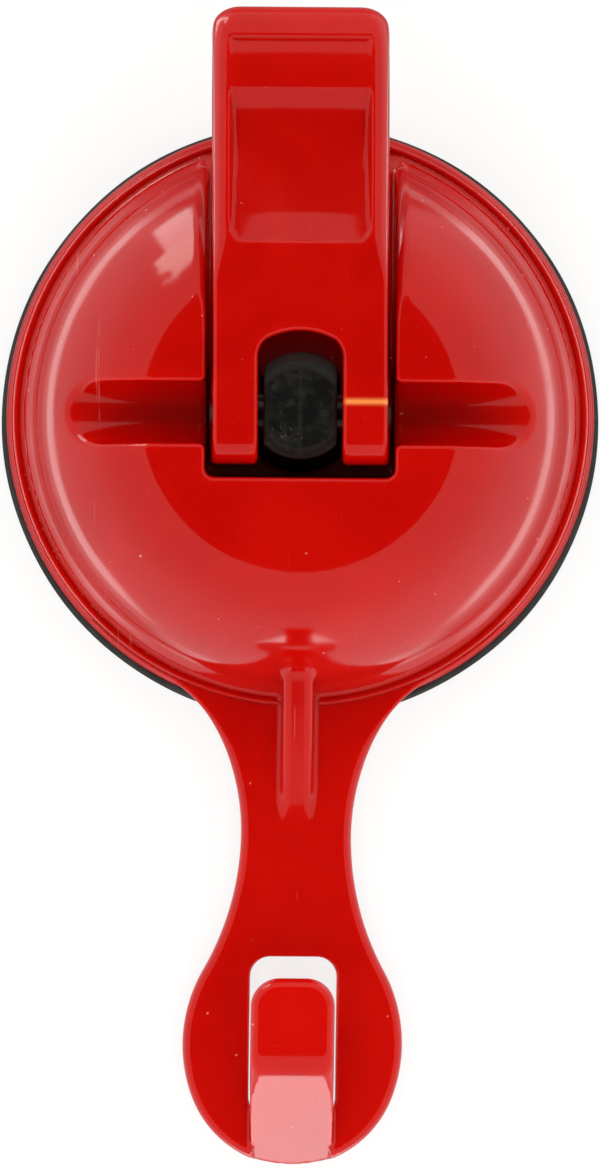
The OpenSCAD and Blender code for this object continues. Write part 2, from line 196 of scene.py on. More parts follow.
window = sums(tree, "MULTIPLY", window, fade(tree, ahead.outputs["Value"], 0.5, 0.6))
up_window = sums(tree, "ADD", towards.outputs["Z"], frayed)
window = sums(tree, "MULTIPLY", window, fade(tree, up_window, 0.25, 0.28, 1.0, 0.0))
window = sums(tree, "MULTIPLY", window, node(tree, "ShaderNodeLightPath").outputs["Is Glossy Ray"])
soft = sums(tree, "MULTIPLY_ADD", node(tree, "ShaderNodeLightPath").outputs["Is Diffuse Ray"], 1.14, 1.0)
link(
    tree,
    (sums(tree, "MULTIPLY_ADD", sums(tree, "MULTIPLY", panels, gap), soft, window), light.inputs["Strength"]),
    (light.outputs[0], node(tree, "ShaderNodeOutputWorld").inputs[0]),
)

# Lamps over the arm's end and past the lever's tip: name, place, width and watts.
lamps = (
    ("arm_lamp", (0.0, -0.085, 0.115), 0.08, 0.064),
    ("tip_lamp", (0.0, 0.16, 0.16), 0.2, 0.15),
)
for name, where, wide, watts in lamps:
    lamp = bpy.data.lights.new(name, "AREA")
    lamp.size, lamp.energy = wide, watts
    hung = bpy.data.objects.new(name, lamp)
    hung.location = where
    hung.visible_glossy = False
    scene.collection.objects.link(hung)

# Camera: a long lens half a metre up, turned by half a degree.
eye = bpy.data.cameras.new("eye")
eye.sensor_width, eye.lens = 36.0, 153.9
eye.clip_start, eye.clip_end = 0.02, 10.0
eye_object = bpy.data.objects.new("eye", eye)
eye_object.location = (0.0001, -0.01656, 0.5015)
eye_object.rotation_euler = (0.0, 0.0, math.radians(0.45))
scene.collection.objects.link(eye_object)
scene.camera = eye_object


# ---------------------------------------------------------------- suction pad
# Soft black rubber disc, moulded in one piece round the stem's flange. Its thin lip seals on the glass, and
# its thick middle is drawn up by the stem; the mesh itself is one still shape.

MM = 0.001  # sizes of pieces are in millimetres from here on


def steps(a, b, count):
    """count numbers evenly from a to b, b left out."""
    return np.linspace(a, b, count, endpoint=False)


def put(name, points, faces, node_name, normals=None):
    """A mesh object of these points, in millimetres, and faces. It stands for a CAD node, whose own mesh it
    hides."""
    mesh = bpy.data.meshes.new(name)
    mesh.from_pydata((points * MM).tolist(), [], faces.tolist())
    mesh.polygons.foreach_set("use_smooth", np.ones(len(mesh.polygons), dtype=bool))
    if normals is not None:
        mesh.normals_split_custom_set_from_vertices(normals.tolist())
    mesh.validate()
    made = bpy.data.objects.new(name, mesh)
    scene.collection.objects.link(made)
    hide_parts(node_name)
    return made


def turned(profile, count):
    """Points and faces of a solid of revolution about Z. At angle t a profile point (r, z) lies at
    (r cos t, r sin t, z); the profile's first and last points lie on the axis and become single poles."""
    ring, rise = profile[1:-1, 0], profile[1:-1, 1]
    t = steps(0.0, 2 * math.pi, count)[:, None]
    wall = np.stack([ring * np.cos(t), ring * np.sin(t), rise + 0 * t], axis=-1).reshape(-1, 3)
    points = np.vstack([wall, [[0, 0, profile[0, 1]], [0, 0, profile[-1, 1]]]])
    rows = len(ring)
    i, j = np.meshgrid(np.arange(count), np.arange(rows - 1), indexing="ij")
    i, j = i.ravel(), j.ravel()
    k = (i + 1) % count
    quads = np.column_stack([i * rows + j, k * rows + j, k * rows + j + 1, i * rows + j + 1])
    i = np.arange(count)
    k = (i + 1) % count
    first = np.column_stack([np.full(count, len(wall)), k * rows, i * rows])
    last = np.column_stack([np.full(count, len(wall) + 1), i * rows + rows - 1, k * rows + rows - 1])
    return points, quads.tolist() + first.tolist() + last.tolist()


def rounded_profile(corners):
    """A profile through corners (r, z, radius): each corner is cut off by a curve that starts and ends radius
    away from it along its two sides: point = (1-t)^2 A + 2t(1-t) corner + t^2 B."""
    corners = np.array(corners, dtype=float)
    path = [corners[0, :2]]
    for before, here, after in zip(corners[:-2], corners[1:-1], corners[2:]):
        back, ahead = before[:2] - here[:2], after[:2] - here[:2]
        a = here[:2] + back / np.hypot(*back) * min(here[2], np.hypot(*back) * 0.49)
        b = here[:2] + ahead / np.hypot(*ahead) * min(here[2], np.hypot(*ahead) * 0.49)
        t = np.linspace(0, 1, 7 if here[2] > 0 else 1)[:, None]
        path.extend((1 - t) ** 2 * a + 2 * t * (1 - t) * here[:2] + t**2 * b)
    path.append(corners[-1, :2])
    return np.array(path)


pad_r = 30.0
sealing = 23.2  # inner radius of the flat sealing ring
hollow = 2.5  # height of the hollow under the middle, which is part of a ball of radius bowl
bowl = (sealing**2 + hollow**2) / (2 * hollow)
under_r = np.linspace(0.0, sealing, 26)
under = np.column_stack([under_r, np.sqrt(bowl**2 - under_r**2) - bowl + hollow])
over = rounded_profile(  # two fine grooves in the sealing ring, the lip, and the thick middle
    [
        (sealing, 0.0, 0), (25.2, 0.0, 0.1), (25.35, 0.14, 0.1), (25.5, 0.0, 0.1),
        (27.4, 0.0, 0.1), (27.55, 0.14, 0.1), (27.7, 0.0, 0.1), (29.85, 0.0, 0.35),
        (pad_r, 0.9, 0.5), (29.5, 1.78, 0.35), (24.4, 1.8, 0.6),
        (10.5, 4.5, 0.7), (9.5, 5.0, 0.4), (0.0, 5.0, 0),
    ]
)
lip_waves = 0.05  # how far the lip's edge wanders in and out
lip_shift = 0.22  # how far the lip lies towards -Y
pad_points, pad_faces = turned(np.vstack([under, over[1:]]), 240)
bearing = np.arctan2(pad_points[:, 1], pad_points[:, 0])
away = np.hypot(pad_points[:, 0], pad_points[:, 1])
near_lip = np.clip((away - 29.0) / 1.0, 0, 1)
waves = 1 + np.sin(5 * bearing + 1.3) * 0.6 + np.sin(11 * bearing) * 0.4
wander = 1 - near_lip * (lip_waves / pad_r) * waves
pad_points[:, :2] *= wander[:, None]
pad_points[:, 1] -= lip_shift * np.clip((away - 25.0) / 4.0, 0, 1)
pad_mesh = bpy.data.meshes.new("suction_pad_skin")
pad_mesh.from_pydata((pad_points * MM).tolist(), [], pad_faces)
pad_mesh.polygons.foreach_set("use_smooth", np.ones(len(pad_mesh.polygons), dtype=bool))
pad = bpy.data.objects.new("suction_pad_skin", pad_mesh)
scene.collection.objects.link(pad)
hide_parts("suction_pad")
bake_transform(pad)

rubber = bpy.data.materials.new("black_rubber")
rubber.use_nodes = True
tree = rubber.node_tree
skin = tree.nodes["Principled BSDF"]
place = node(tree, "ShaderNodeTexCoord").outputs["Object"]
cloudy = node(tree, "ShaderNodeTexNoise", Scale=260.0, Detail=5.0, Roughness=0.6)
pores = node(tree, "ShaderNodeTexNoise", Scale=5200.0, Detail=3.0)
dust = node(tree, "ShaderNodeTexVoronoi", Scale=1500.0)
link(tree, (place, cloudy.inputs["Vector"]), (place, pores.inputs["Vector"]), (place, dust.inputs["Vector"]))
bloom = fade(tree, cloudy.outputs["Fac"], 0.35, 0.75)
shade = blend_colour(tree, bloom, (0.012, 0.012, 0.012), (0.038, 0.038, 0.037))
speck = fade(tree, dust.outputs["Distance"], 0.05, 0.16, 0.8, 0.0)
few = fade(tree, pores.outputs["Fac"], 0.55, 0.62)
shade = blend_colour(tree, sums(tree, "MULTIPLY", speck, few), shade, (0.25, 0.24, 0.22))
bump = node(tree, "ShaderNodeBump", Strength=0.35, Distance=0.00004)
link(
    tree,
    (shade, skin.inputs["Base Color"]),
    (fade(tree, cloudy.outputs["Fac"], 0.3, 0.7, 0.62, 0.78), skin.inputs["Roughness"]),
    (pores.outputs["Fac"], bump.inputs["Height"]), (bump.outputs[0], skin.inputs["Normal"]),
)
pad_mesh.materials.append(rubber)


# ---------------------------------------------------------------- hood, arm and hook
# One moulding in glossy red plastic: dome with a flat on top, a slot for the lever, two side channels for
# fitting the pin, a rim that presses on the pad, and a flat arm with a rib and a hook. Its edges are rounded.


def both(a, b, r):
    """Inside a and inside b, the edge between them rounded by radius r. a and b are depths, negative inside.
    It is the greater of the two, at most -r, plus the length of (a + r, b + r) with negatives as 0."""
    return np.minimum(-r, np.maximum(a, b)) + np.hypot(np.maximum(a + r, 0), np.maximum(b + r, 0))


def either(a, b, r):
    """Inside a or inside b, the corner between them filled with radius r: the lesser of the two, at least r,
    less the length of (r - a, r - b) with negatives as 0."""
    return np.maximum(r, np.minimum(a, b)) - np.hypot(np.maximum(r - a, 0), np.maximum(r - b, 0))


def smooth(value, low, high):
    """0 below low, 1 above high, and 3t^2 - 2t^3 between."""
    t = np.clip((value - low) / (high - low), 0, 1)
    return t * t * (3 - 2 * t)


def moulded(depth, low, high, cell, coarse=4):
    """Points, normals and faces of the surface where depth(x, y, z) is 0, with the inside negative. Each grid
    cell that the surface passes through gets one point: the mean of where it crosses the cell's edges, moved
    along the depth's slope onto the surface. Each grid edge that it crosses gets a face between the four
    cells round it. The fine grid is only worked out near the surface, which a coarser grid finds first."""
    low = np.array(low, dtype=float)
    count = (np.ceil((np.array(high) - low) / (cell * coarse)).astype(int)) * coarse + 1
    lines = [low[k] + cell * np.arange(count[k]) for k in range(3)]
    rough = depth(*np.meshgrid(*[line[::coarse] for line in lines], indexing="ij"))
    close = np.abs(rough) < cell * coarse * 1.9
    block = np.zeros(np.array(close.shape) - 1, dtype=bool)
    shifts = [(i, j, k) for i in (0, 1) for j in (0, 1) for k in (0, 1)]
    for i, j, k in shifts:
        block |= close[i : close.shape[0] - 1 + i, j : close.shape[1] - 1 + j, k : close.shape[2] - 1 + k]
    inner = block.repeat(coarse, 0).repeat(coarse, 1).repeat(coarse, 2)
    wanted = np.zeros(count, dtype=bool)
    for i, j, k in shifts:
        wanted[i : count[0] - 1 + i, j : count[1] - 1 + j, k : count[2] - 1 + k] |= inner
    value = np.full(count, 9.0)
    value[:-1, :-1, :-1] = rough[:-1, :-1, :-1].repeat(coarse, 0).repeat(coarse, 1).repeat(coarse, 2)
    at = np.nonzero(wanted)
    value[at] = depth(lines[0][at[0]], lines[1][at[1]], lines[2][at[2]])

    inside = value < 0
    size = np.array(inside.shape) - 1
    total = np.zeros(size, dtype=np.int8)
    for i, j, k in shifts:
        total += inside[i : size[0] + i, j : size[1] + j, k : size[2] + k]
    cells = np.argwhere((total > 0) & (total < 8))
    offsets = np.array(shifts)
    corner = np.stack([value[tuple((cells + o).T)] for o in offsets], axis=1)
    pairs = [(a, b) for a in range(8) for b in range(a + 1, 8) if np.abs(offsets[a] - offsets[b]).sum() == 1]
    first, second = np.array(pairs).T
    a, b = corner[:, first], corner[:, second]
    crossed = (a < 0) != (b < 0)
    share = np.where(crossed, a / np.where(crossed, a - b, 1), 0)[..., None]
    hits = (offsets[first] + share * (offsets[second] - offsets[first])) * crossed[..., None]
    points = low + cell * (cells + hits.sum(1) / crossed.sum(1)[:, None])

    def slope(p):
        """Change of depth along each axis: the difference of two samples over the distance between them."""
        aside = 0.012
        x, y, z = p.T
        return np.column_stack(
            [
                depth(x + aside, y, z) - depth(x - aside, y, z),
                depth(x, y + aside, z) - depth(x, y - aside, z),
                depth(x, y, z + aside) - depth(x, y, z - aside),
            ]
        ) / (2 * aside)

    for _ in range(3):
        steep = slope(points)
        move = steep * (depth(*points.T) / np.maximum((steep * steep).sum(1), 0.2))[:, None]
        points -= np.clip(move, -0.5 * cell, 0.5 * cell)
    normal = slope(points)
    normal /= np.maximum(np.linalg.norm(normal, axis=1), 1e-9)[:, None]

    number = np.full(size, -1)
    number[tuple(cells.T)] = np.arange(len(cells))
    faces = []
    for along, side, up in ((0, 1, 2), (1, 2, 0), (2, 0, 1)):
        s, u = np.eye(3, dtype=int)[[side, up]]
        here = inside[tuple(slice(0, n - 1 if k == along else n) for k, n in enumerate(inside.shape))]
        there = inside[tuple(slice(1 if k == along else 0, n) for k, n in enumerate(inside.shape))]
        edge = np.argwhere(here != there)
        quad = np.column_stack([number[tuple((edge + o).T)] for o in (-s - u, -u, 0 * s, -s)])
        leaving = here[tuple(edge.T)]
        faces.append(np.where(leaving[:, None], quad, quad[:, ::-1]))
    return points, normal, np.vstack(faces)


def ring_faces(rows, columns, closed):
    """Quads between rows of points, each row a closed loop of columns points. Point j of row i is number
    i * columns + j. closed joins the last row to the first."""
    i, j = np.meshgrid(np.arange(rows if closed else rows - 1), np.arange(columns), indexing="ij")
    i, j = i.ravel(), j.ravel()
    k, m = (i + 1) % rows, (j + 1) % columns
    return np.column_stack([i * columns + j, k * columns + j, k * columns + m, i * columns + m])


def red_plastic(name, painted_glint=False):
    """Glossy red plastic, a little translucent: edges glow, and it looks deeper where it is thin over a dark
    hollow. It has slow waves left by the mould, faint swirls in the colour, thin scratches and light dust."""
    made = bpy.data.materials.new(name)
    made.use_nodes = True
    tree = made.node_tree
    skin = tree.nodes["Principled BSDF"]
    skin.inputs["IOR"].default_value = 1.52
    skin.inputs["Subsurface Weight"].default_value = 0.7
    skin.inputs["Subsurface Radius"].default_value = (1.0, 0.22, 0.15)
    skin.inputs["Subsurface Scale"].default_value = 0.0016
    place = node(tree, "ShaderNodeTexCoord").outputs["Object"]
    swirl = node(tree, "ShaderNodeTexNoise", Scale=70.0, Detail=4.0, Distortion=1.2)
    wave = node(tree, "ShaderNodeTexNoise", Scale=110.0, Detail=1.0)
    fine = node(tree, "ShaderNodeTexNoise", Scale=2600.0, Detail=3.0)
    dust = node(tree, "ShaderNodeTexVoronoi", Scale=420.0)
    link(tree, *[(place, n.inputs["Vector"]) for n in (swirl, wave, fine, dust)])
    swirled = fade(tree, swirl.outputs["Fac"], 0.3, 0.7)
    colour = blend_colour(tree, swirled, (0.53, 0.0018, 0.0004), (0.58, 0.003, 0.0007))
    speck = sums(
        tree, "MULTIPLY", fade(tree, dust.outputs["Distance"], 0.05, 0.1, 1.0, 0.0),
        fade(tree, fine.outputs["Fac"], 0.56, 0.6),
    )
    # scratches: a fine pattern drawn out along three directions, kept only where a slow one is high
    stretch = (2600.0, 46.0, 46.0)
    lines = []
    for turn, seed in ((0.35, 3.0), (-0.9, 7.0), (1.5, 11.0)):
        drawn = node(
            tree, "ShaderNodeMapping", Rotation=(0, 0, turn), Location=(seed, seed, 0), Scale=stretch,
        )
        streak = node(tree, "ShaderNodeTexNoise", Scale=1.0, Detail=1.0)
        patch = node(tree, "ShaderNodeTexNoise", Scale=150.0 + 10 * seed, Detail=1.0)
        link(
            tree,
            (place, drawn.inputs["Vector"]), (drawn.outputs[0], streak.inputs["Vector"]),
            (place, patch.inputs["Vector"]),
        )
        lines.append(
            sums(
                tree, "MULTIPLY", fade(tree, streak.outputs["Fac"], 0.735, 0.76),
                fade(tree, patch.outputs["Fac"], 0.6, 0.68),
            )
        )
    scratch = sums(tree, "MAXIMUM", sums(tree, "MAXIMUM", lines[0], lines[1]), lines[2])
    marks = sums(tree, "MAXIMUM", sums(tree, "MULTIPLY", scratch, 0.16), sums(tree, "MULTIPLY", speck, 0.7))
    colour = blend_colour(tree, marks, colour, (0.86, 0.36, 0.3))
    if painted_glint:
        # painted highlight: a bright orange line over the pin, across the top of the +X leg, standing in for
        # a small lamp's glint there
        spot = node(tree, "ShaderNodeSeparateXYZ")
        link(tree, (place, spot.inputs[0]))
        across = sums(tree, "ABSOLUTE", sums(tree, "SUBTRACT", spot.outputs["Y"], 0.0011))
        band = sums(tree, "POWER", fade(tree, across, 0.0, 0.0006, 1.0, 0.0), 1.7)
        band = sums(tree, "MULTIPLY", band, fade(tree, spot.outputs["X"], 0.0040, 0.0046))
        band = sums(tree, "MULTIPLY", band, fade(tree, spot.outputs["Z"], 0.0190, 0.0196))
        colour = blend_colour(tree, band, colour, (1.0, 0.34, 0.09))
    rough = fade(tree, swirl.outputs["Fac"], 0.35, 0.8, 0.085, 0.16)
    rough = sums(tree, "ADD", rough, sums(tree, "MULTIPLY", marks, 0.35))
    grain = sums(tree, "MULTIPLY", fine.outputs["Fac"], 0.006)
    height = sums(tree, "MULTIPLY_ADD", wave.outputs["Fac"], 1.0, grain)
    height = sums(tree, "SUBTRACT", height, sums(tree, "MULTIPLY", scratch, 0.03))
    bump = node(tree, "ShaderNodeBump", Strength=0.5, Distance=0.00025)
    link(
        tree,
        (colour, skin.inputs["Base Color"]), (rough, skin.inputs["Roughness"]),
        (height, bump.inputs["Height"]), (bump.outputs[0], skin.inputs["Normal"]),
    )
    return made


pin_z = 16.22  # height of the pin's line over the glass
floor_top = 8.6  # floor that the cams ride on
plateau_z = pin_z + 3.4
rim_z, arm_top, step_z = 1.8, 4.5, 4.8  # rim's underside, top of rim and arm, and the step inside the rim
rim_r, step_r = 29.07, 28.15
dome_r = 23.36  # radius of the dome's side, whose centre runs round the axis in a circle
dome_at = (4.39, -1.19)  # that circle's radius and height
foot_at, foot_slope, foot_top = (26.85, 6.0), math.radians(57.5), 8.5  # the dome's straight foot
slot_half, slot_back = 9.2, 6.25
ramp_from, ramp_long, ramp_fall = 11.0, 15.97, 3.3  # where the slot's floor slopes down to the rim
channel_r = 3.0
inside_r, inside_top, floor_t = 24.4, 7.0, 1.6  # hollow under the dome, and the floor over it
hole_r, hole_half = 5.45, 3.85  # hole for the stem, round with two flats

# arm: half widths, and places along it measured from the axis
arm_warp = 0.33
arm_from = 20.0  # arm and rib start inside the rim
arm_slot_half, arm_slot_mid, arm_slot_long = 4.3, 61.6, 8.0
rib_half, rib_end = 1.55, 40.47
rib_cos, rib_sin = 0.945, 0.327  # of the rib's slope
hook_half, hook_tip, hook_wall = 4.1, 54.98, 2.9
finger_low, finger_top = 12.6, 15.5
hook_foot, hook_lean = (74.37, 2.3), math.atan2(13.2, 10.97)  # outer face of the slanted wall

# arcs of the arm's outline on the +X side: centre and radius. The cheek's and the tip's lie inside the
# arm, and the root's, neck's and low neck's outside it.
neck_at, neck_r, neck_half = (27.5, -41.47), 22.0, 5.5
root_r = 12.0
cheek_at, cheek_r, cheek_drop = (-4.05, -62.37), 15.0, 20.9
arm_end, end_long = 74.57, 12.2


def meeting(a, ra, b, rb):
    """The point at distance ra from a and rb from b, on the left of the way from a to b. With d from a to b,
    it lies (d^2 + ra^2 - rb^2) / 2d along that way, and to the left of it by Pythagoras."""
    a, b = np.array(a), np.array(b)
    d = np.hypot(*(b - a))
    u = (b - a) / d
    along = (d * d + ra * ra - rb * rb) / (2 * d)
    return a + along * u + math.sqrt(ra * ra - along * along) * np.array([-u[1], u[0]])


root_at = meeting(neck_at, neck_r - root_r, (0, 0), rim_r + root_r)
reach = neck_half - cheek_at[0]
low_r = (reach**2 + cheek_drop**2 - cheek_r**2) / (2 * (cheek_r - reach))
low_at = (neck_half + low_r, neck_at[1])
tip_r = (cheek_r**2 - end_long**2 - cheek_at[0] ** 2) / (2 * (cheek_r - end_long))
tip_at = (0.0, -(arm_end - tip_r))


def outline(x, y):
    """How far outside the rim and arm's outline a place is: its distance from the arc whose sector it lies
    in. A sector ends where two arcs touch, on the line through their centres."""
    x = np.abs(x)

    def past(a, b):
        """Which side of the line from centre a to centre b a place is on: negative on its right."""
        return (b[0] - a[0]) * (y - a[1]) - (b[1] - a[1]) * (x - a[0])

    def hollow_arc(at, r):
        """How far inside the circle a place is, for an arc with the arm outside it."""
        return r - np.hypot(x - at[0], y - at[1])

    d = np.hypot(x, y) - rim_r
    d = np.where(past((0, 0), root_at) < 0, hollow_arc(root_at, root_r), d)
    d = np.where(past(root_at, neck_at) < 0, hollow_arc(neck_at, neck_r), d)
    d = np.where(y < neck_at[1], hollow_arc(low_at, low_r), d)
    d = np.where(past(cheek_at, low_at) < 0, np.hypot(x - cheek_at[0], y - cheek_at[1]) - cheek_r, d)
    at_tip = (past(cheek_at, tip_at) < 0) & (y < tip_at[1])
    return np.where(at_tip, np.hypot(x - tip_at[0], y - tip_at[1]) - tip_r, d)


def hood_depth(x, y, z):
    """Depth of the whole moulding: dome less slot and channels, cut flat on top; then rim, arm, rib and hook
    added, and the hollow and the stem's hole taken out. The arm's end is warped towards -X."""
    x = x + arm_warp * smooth(-y, 26.0, 68.0)
    r = np.hypot(x, y)
    dome = np.hypot(r - dome_at[0], z - dome_at[1]) - dome_r
    foot = (r - foot_at[0]) * math.sin(foot_slope) + (z - foot_at[1]) * math.cos(foot_slope)
    dome = either(dome, np.maximum(foot, z - foot_top), 0.12)
    ramp = floor_top - np.clip(y - ramp_from, 0, ramp_long) * (ramp_fall / ramp_long)
    slot = both(both(np.abs(x) - slot_half, -slot_back - y, 0.9), ramp - z, 0.4)
    body = both(dome, -slot, 1.35)
    channel = np.hypot(y, np.minimum(z - pin_z, 0)) - channel_r
    body = both(body, -channel, 0.55)
    body = both(body, z - plateau_z, 0.42)
    body = either(body, np.maximum(r - step_r, z - step_z), 0.3)
    edge = 0.38 + 0.75 * smooth(-y, 28.0, 34.0)
    plate = both(np.maximum(outline(x, y), y + arm_from), z - arm_top - 0.02, edge)
    wall = -(y + hook_foot[0]) * math.sin(hook_lean) + (z - hook_foot[1]) * math.cos(hook_lean)
    under_wall = both(np.abs(x) - 3.9, -wall - 0.8, 0.2)
    plate = both(plate, -under_wall, 0.2)
    arm_slot = both(np.abs(x) - arm_slot_half, np.abs(y + arm_slot_mid) - arm_slot_long, 2.0)
    plate = both(plate, -arm_slot, 0.3)
    body = either(body, plate, 0.05)
    rib = both(np.abs(x) - rib_half, (z - arm_top) * rib_cos - (y + rib_end) * rib_sin, 0.95)
    rib = np.maximum(np.maximum(rib, 2.4 - z), y + arm_from)
    body = either(body, rib, 0.7)
    body = both(body, rim_z - z, 0.3)

    # hook: a bent bar seen from the side, cut to its outline seen from above
    outer = both(z - finger_top, wall, 1.6)
    gap = both(z - finger_low, wall + hook_wall, 1.6)
    side = both(outer, -gap, 0.5)
    plan = both(np.abs(x) - hook_half, y + hook_tip, 2.8)
    round_edge = 0.28 + 0.8 * smooth(y, -67.0, -64.0)
    finger = both(side, plan, round_edge)
    finger = both(np.maximum(finger, rim_z - z), outline(x, y), 0.3)
    body = either(body, finger, 0.45)

    # hollow underneath, and the hole for the stem
    hollow_in = both(r - inside_r, z - np.minimum(inside_top, ramp - floor_t), 0.4)
    hole = both(r - hole_r, np.abs(x) - hole_half, 0.2)
    body = both(body, -np.maximum(hollow_in, 0.5 - z), 0.2)
    return both(body, -np.maximum(hole, z - 12.0), 0.2)


hood_points, hood_normals, hood_faces = moulded(hood_depth, (-29.9, -75.4, 1.1), (29.9, 29.9, 20.3), 0.36)
hood = put("hood_skin", hood_points, hood_faces, "hood", hood_normals)
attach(hood, "hood")
hood.data.materials.append(red_plastic("hood_red"))



def hooped(profile, count):
    """A closed profile carried round Z: at angle t its point (r, z) lies at (r cos t, r sin t, z)."""
    t = steps(0.0, 2 * math.pi, count)[:, None]
    return np.stack(
        [profile[:, 0] * np.cos(t), profile[:, 0] * np.sin(t), profile[:, 1] + 0 * t], axis=-1
    ).reshape(-1, 3)


# the rim's bevel and step, turned finely, because they are narrower than the moulding's grid can show
rim_in, rim_steps = 25.0, 360
step_over = 0.004  # its step covers the moulding's own
rim_profile = rounded_profile(
    [
        (rim_in, rim_z, 0), (rim_r, rim_z, 0.3), (rim_r, 3.85, 0.25),
        (28.74, arm_top, 0.16), (28.62, arm_top, 0.08), (28.42, step_z + step_over, 0.14),
        (27.9, step_z + step_over, 0), (27.9, step_z - 0.4, 0), (rim_in, 3.0, 0), (rim_in, rim_z, 0),
    ]
)[:-1]
rim_faces = ring_faces(rim_steps, len(rim_profile), True)
rim = put("hood_rim", hooped(rim_profile, rim_steps), rim_faces, "hood")
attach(rim, "hood")
rim.data.materials.append(hood.data.materials[0])


# ---------------------------------------------------------------- lever
# Red plastic cam lever. Its forked end straddles the stem and turns on the pin, its two legs end in cams that
# pass just over the slot's floor, and a shallow thumb scoop runs to the rounded tip.

lever_top = pin_z + 4.0
plate_low = lever_top - 4.2
lever_half, lever_end, lever_back = 8.7, 39.7, 4.95
cam_r, cam_fall = 7.5, 2.55  # cam's radius straight down, and how much less it is straight back
fork_half, fork_round_y = 4.1, 1.15
pocket_end, pocket_roof = 14.6, 3.0
lever_bore = 2.06
lever_askew = 0.25

# the scoop's slope along Y at some stations, and its depth, which is that slope summed up
station = (16.4, 19.0, 19.6, 24.2, 28.9, 29.5, 31.4, 31.9, 32.9, 33.9, 34.3, 36.3)
slope_there = (0.46, 0.35, 0.25, 0.0, -0.31, -0.44, -0.45, -0.1, 0.0, 0.06, 0.27, 0.29)
scoop_y = np.linspace(station[0], station[-1], 400)
slope_along = np.interp(scoop_y, station, slope_there)
mean_slope = (slope_along[1:] + slope_along[:-1]) / 2
scoop_deep = 0.19 + np.concatenate([[0], np.cumsum(mean_slope * np.diff(scoop_y))])


def lever_depth(x, y, z):
    """Depth of the lever: a bar with a rounded nose joined to two cam legs, less scoop, fork, pocket and
    bore. It stands a little askew on the pin, so its tip lies towards -X."""
    x = x + lever_askew * np.clip(y, 0, 40) / 40
    bar_nose = (y - lever_end) * (3.4 / 5.6)
    bar = both(z - lever_top, bar_nose, 3.4)
    bar = both(both(bar, plate_low - z, 0.8), -lever_back - y, 0.3)
    turn = np.degrees(np.arctan2(-y, pin_z - z))
    cam = np.hypot(y, z - pin_z) - (cam_r - cam_fall * np.clip(turn, 0, 90) / 90)
    straight = np.maximum(-lever_back - y, pin_z - cam_r - z)
    cam = np.where((y < 0) & (z < pin_z), cam, straight)
    front = (y - 5.5) * 0.721 - (z - (pin_z - cam_r)) * 0.693
    leg = both(both(cam, front, 0.4), z - lever_top, 0.3)
    side = either(bar, leg, 0.8)
    side = np.maximum(side, both(z - lever_top, -lever_back - y, 2.9))
    wide = lever_half - 0.26 * smooth(z, plate_low, lever_top)
    plan = both(np.abs(x) - wide, y - lever_end - 0.9, 2.9)
    body = both(side, plan, 0.55 + 1.35 * smooth(y, 12.0, 18.0))

    dish = np.interp(y, scoop_y, scoop_deep) * (1 - 0.012 * x**2 * (1 - smooth(y, 23.0, 29.0)))
    corner = ((np.abs(x) - 6.1) * 1.5 - (y - station[0])) / 1.803
    area = both(both(np.abs(x) - 6.9 + 0.25 * (lever_top - z), station[0] - y, 0.2), corner, 0.2)
    area = both(area, y - station[-1], 0.1)
    scoop_floor = lever_top - dish
    scoop = both(area, scoop_floor - z, 0.45)
    body = both(body, -scoop, 0.22)

    arch = np.where(y > fork_round_y, np.hypot(x, y - fork_round_y), np.abs(x)) - 6.8
    fork = both(np.abs(x) - fork_half, arch, 0.9)
    body = both(body, -fork, 0.5)
    pocket = np.maximum(np.maximum(np.abs(x) - fork_half, y - pocket_end), z - (lever_top - pocket_roof))
    body = both(body, -pocket, 0.2)
    return both(body, -(np.hypot(y, z - pin_z) - lever_bore), 0.15)


lever_points, lever_normals, lever_faces = moulded(lever_depth, (-9.2, -6.0, 8.2), (9.2, 40.2, 20.8), 0.24)
lever = put("lever_skin", lever_points, lever_faces, "lever", lever_normals)
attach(lever, "lever")
lever.data.materials.append(red_plastic("lever_red", painted_glint=True))


# ---------------------------------------------------------------- stem
# Black nylon core that the lever pulls up. Its head is round with two flats and a bevelled top, and carries
# the mould's parting line; its flange is moulded into the pad.

head_r, head_half, head_over_pin = 5.15, 3.55, 3.5
head_shift = 0.75  # how far the head lies towards the lever's tip
flange_r, flange_z, flange_half = 8.0, 4.35, 0.48
stem_bore = 2.02
slant = 0.7071  # makes a bevel at 45 degrees a true distance

def stem_depth(x, y, z):
    """Depth of the stem: a round bar with two flats and a bevelled top, its flange, and the cross bore."""
    top = pin_z + head_over_pin
    y_head = y - head_shift * smooth(z, 11.5, 14.5)
    r = np.hypot(x, y_head)
    ridge = 0.05 * np.exp(-((x / 0.16) ** 2))
    head = both(both(r - head_r, np.abs(x) - head_half, 0.2), z - top - ridge, 0.12)
    head = both(head, (r - head_r + z - top + 1.0) * slant, 0.15)
    head = both(head, (np.abs(x) - head_half + z - top + 0.32) * slant, 0.08)
    flange = both(r - flange_r, np.abs(z - flange_z) - flange_half, 0.15)
    body = either(np.maximum(head, 3.9 - z), flange, 0.2)
    return both(body, -(np.hypot(y, z - pin_z) - stem_bore), 0.1)


stem_points, stem_normals, stem_faces = moulded(stem_depth, (-8.5, -8.5, 3.4), (8.5, 8.5, 20.4), 0.22)
stem = put("stem_core", stem_points, stem_faces, "stem", stem_normals)
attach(stem, "stem")

